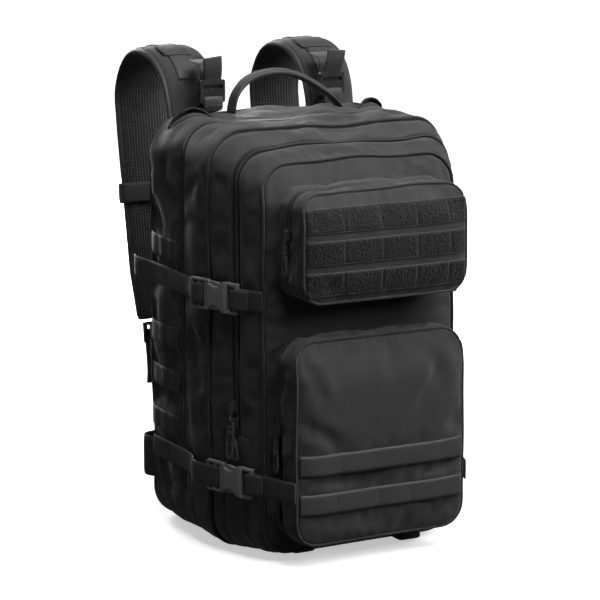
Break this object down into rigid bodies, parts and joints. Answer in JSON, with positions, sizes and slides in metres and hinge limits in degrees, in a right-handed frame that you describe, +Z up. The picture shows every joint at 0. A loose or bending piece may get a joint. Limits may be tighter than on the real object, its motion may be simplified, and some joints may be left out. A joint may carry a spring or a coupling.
{
  "type": "tactical backpack",
  "caption": "Large padded backpack with two deep compartments, two front pockets, zips, webbing ladders, compression straps with side-release buckles, shoulder straps and a belt.",
  "frame": {"origin": "on the base, on the centre line, 4 mm behind the seam between the main and the second compartment", "axes": "+Z up, -Y towards the pockets, +Y towards the shoulder straps, +X to the right seen from the front"},
  "size_m": [0.3496, 0.4737, 0.5721],
  "materials": {
    "shell_fabric": "coated plain-weave nylon",
    "lining": "light lining fabric",
    "mesh": "spacer mesh over foam",
    "stiffener": "matte sheet",
    "webbing": "ribbed nylon webbing",
    "loop_pile": "loop-faced webbing",
    "zip_tape": "woven tape with a coil",
    "slider_metal": "satin black",
    "pull_cord": "braided cord",
    "buckle_plastic": "satin moulded",
    "lock_plastic": "semi-gloss moulded"
  },
  "bodies": {
    "rear": {"rear_shell": "shell_fabric", "back_panel": "shell_fabric", "frame_sheet": "stiffener", "hydration_sleeve": "lining", "back_pads": "mesh", "main_zip_rear": "zip_tape", "shoulder_strap_left": "mesh", "shoulder_strap_right": "mesh", "lifter_webs": "webbing", "strap_lower_webs": "webbing", "belt_webs": "webbing", "belt_adjusters": "lock_plastic", "belt_buckle_socket": "buckle_plastic", "tube_ports": "shell_fabric", "side_ladder_webbing": "webbing", "rear_compression_webs": "webbing"},
    "main_front": {"main_front_shell": "shell_fabric", "second_rear_gusset": "shell_fabric", "inner_mesh_pocket": "mesh", "front_zips": "zip_tape"},
    "second_front": {"second_front_shell": "shell_fabric", "organiser_panel": "lining", "second_zip_front": "zip_tape", "upper_pocket_base": "shell_fabric", "lower_pocket_base": "shell_fabric", "pocket_zips": "zip_tape", "lower_ladder_webbing": "webbing", "front_compression_webs": "webbing", "compression_sockets": "buckle_plastic", "base_lash_webs": "webbing"},
    "upper_pocket_front": {"upper_pocket_front": "shell_fabric", "upper_zip_front": "zip_tape", "upper_loop_webbing": "loop_pile"},
    "lower_pocket_flap": {"lower_pocket_flap": "shell_fabric", "lower_zip_front": "zip_tape"},
    "grab_handle": {"grab_handle": "webbing"},
    "main_upper_slider": {"main_upper_slider": "slider_metal"},
    "main_upper_pull": {"main_upper_pull": "pull_cord"},
    "main_lower_slider": {"main_lower_slider": "slider_metal", "main_lower_pull": "pull_cord"},
    "second_upper_slider": {"second_upper_slider": "slider_metal"},
    "second_upper_pull": {"second_upper_pull": "pull_cord"},
    "second_lower_slider": {"second_lower_slider": "slider_metal", "second_lower_pull": "pull_cord"},
    "upper_pocket_slider": {"upper_pocket_slider": "slider_metal"},
    "upper_pocket_pull": {"upper_pocket_pull": "pull_cord"},
    "lower_pocket_slider": {"lower_pocket_slider": "slider_metal"},
    "lower_pocket_pull": {"lower_pocket_pull": "pull_cord"},
    "upper_left_plug": {"upper_left_buckle_plug": "buckle_plastic"},
    "upper_right_plug": {"upper_right_buckle_plug": "buckle_plastic"},
    "lower_left_plug": {"lower_left_buckle_plug": "buckle_plastic"},
    "lower_right_plug": {"lower_right_buckle_plug": "buckle_plastic"},
    "lifter_lock_left": {"lifter_lock_left": "lock_plastic"},
    "lifter_lock_right": {"lifter_lock_right": "lock_plastic"},
    "strap_lock_left": {"strap_lock_left": "lock_plastic"},
    "strap_lock_right": {"strap_lock_right": "lock_plastic"},
    "chest_strap": {"chest_strap": "webbing", "chest_buckle_socket": "buckle_plastic"},
    "chest_plug": {"chest_buckle_plug": "buckle_plastic"},
    "belt_plug": {"belt_buckle_plug": "buckle_plastic"}
  },
  "joints": [
    {"name": "main_compartment_opening", "type": "hinge", "parent": "rear", "child": "main_front", "pos_m": [0, -0.06, 0], "axis": [1, 0, 0], "range_deg": [0, 8]},
    {"name": "second_compartment_opening", "type": "hinge", "parent": "main_front", "child": "second_front", "pos_m": [0, -0.088, 0], "axis": [1, 0, 0], "range_deg": [0, 14]},
    {"name": "upper_pocket_opening", "type": "hinge", "parent": "second_front", "child": "upper_pocket_front", "pos_m": [0, -0.112, 0.315], "axis": [1, 0, 0], "range_deg": [0, 35]},
    {"name": "lower_pocket_opening", "type": "hinge", "parent": "second_front", "child": "lower_pocket_flap", "pos_m": [0, -0.142, 0.152], "axis": [1, 0, 0], "range_deg": [0, 60]},
    {"name": "grab_handle_swing", "type": "hinge", "parent": "rear", "child": "grab_handle", "pos_m": [0, 0.1, 0.5117], "axis": [1, 0, 0], "range_deg": [-35, 70]},
    {"name": "main_upper_slider_travel", "type": "slide", "parent": "main_front", "child": "main_upper_slider", "axis": [0, 0, 1], "range_m": [0, 0.01]},
    {"name": "main_lower_slider_travel", "type": "slide", "parent": "main_front", "child": "main_lower_slider", "axis": [0, 0, 1], "range_m": [-0.09, 0]},
    {"name": "second_upper_slider_travel", "type": "slide", "parent": "second_front", "child": "second_upper_slider", "axis": [0, 0, 1], "range_m": [0, 0.1]},
    {"name": "second_lower_slider_travel", "type": "slide", "parent": "second_front", "child": "second_lower_slider", "axis": [0, 0, 1], "range_m": [-0.004, 0.004]},
    {"name": "upper_pocket_slider_travel", "type": "slide", "parent": "upper_pocket_front", "child": "upper_pocket_slider", "axis": [0, 0, 1], "range_m": [-0.012, 0.02]},
    {"name": "lower_pocket_slider_travel", "type": "slide", "parent": "second_front", "child": "lower_pocket_slider", "axis": [0, 0, 1], "range_m": [0, 0.07]},
    {"name": "main_upper_pull_swing", "type": "hinge", "parent": "main_upper_slider", "child": "main_upper_pull", "pos_m": [0.1658, 0.064, 0.434], "axis": [0, -1, 0], "range_deg": [0, 100]},
    {"name": "second_upper_pull_swing", "type": "hinge", "parent": "second_upper_slider", "child": "second_upper_pull", "pos_m": [-0.14955, -0.04874, 0.17], "axis": [-0.3511, 0.9363, 0], "range_deg": [0, 100]},
    {"name": "upper_pocket_pull_swing", "type": "hinge", "parent": "upper_pocket_slider", "child": "upper_pocket_pull", "pos_m": [-0.1117, -0.112, 0.38], "axis": [0, 1, 0], "range_deg": [0, 100]},
    {"name": "lower_pocket_pull_swing", "type": "hinge", "parent": "lower_pocket_slider", "child": "lower_pocket_pull", "pos_m": [-0.1167, -0.098, 0.15], "axis": [0, 1, 0], "range_deg": [0, 100]},
    {"name": "upper_left_buckle_release", "type": "slide", "parent": "rear", "child": "upper_left_plug", "axis": [-0.3295, 0.9442, 0], "range_m": [0, 0.025], "deforming": ["upper_left_buckle_plug", "rear_compression_webs"]},
    {"name": "upper_right_buckle_release", "type": "slide", "parent": "rear", "child": "upper_right_plug", "axis": [0.3295, 0.9442, 0], "range_m": [0, 0.025], "deforming": ["upper_right_buckle_plug"]},
    {"name": "lower_left_buckle_release", "type": "slide", "parent": "rear", "child": "lower_left_plug", "axis": [-0.3134, 0.9496, 0], "range_m": [0, 0.025], "deforming": ["lower_left_buckle_plug"]},
    {"name": "lower_right_buckle_release", "type": "slide", "parent": "rear", "child": "lower_right_plug", "axis": [0.3134, 0.9496, 0], "range_m": [0, 0.025], "deforming": ["lower_right_buckle_plug"]},
    {"name": "lifter_lock_left_tilt", "type": "hinge", "parent": "rear", "child": "lifter_lock_left", "pos_m": [-0.082, 0.134, 0.514], "axis": [1, 0, 0], "range_deg": [0, 25], "deforming": ["lifter_webs"]},
    {"name": "lifter_lock_right_tilt", "type": "hinge", "parent": "rear", "child": "lifter_lock_right", "pos_m": [0.082, 0.134, 0.514], "axis": [1, 0, 0], "range_deg": [0, 25]},
    {"name": "strap_lock_left_tilt", "type": "hinge", "parent": "rear", "child": "strap_lock_left", "pos_m": [-0.095, 0.2747, 0.216], "axis": [1, 0, 0], "range_deg": [-25, 0], "deforming": ["strap_lower_webs"]},
    {"name": "strap_lock_right_tilt", "type": "hinge", "parent": "rear", "child": "strap_lock_right", "pos_m": [0.095, 0.2747, 0.216], "axis": [1, 0, 0], "range_deg": [-25, 0]},
    {"name": "chest_strap_travel", "type": "slide", "parent": "rear", "child": "chest_strap", "axis": [0, 0.1386, 0.9903], "range_m": [-0.03, 0.03]},
    {"name": "chest_buckle_release", "type": "slide", "parent": "chest_strap", "child": "chest_plug", "axis": [1, 0, 0], "range_m": [0, 0.02], "deforming": ["chest_buckle_plug"]},
    {"name": "belt_buckle_release", "type": "slide", "parent": "rear", "child": "belt_plug", "axis": [1, 0, 0], "range_m": [0, 0.03], "deforming": ["belt_buckle_plug"]}
  ]
}
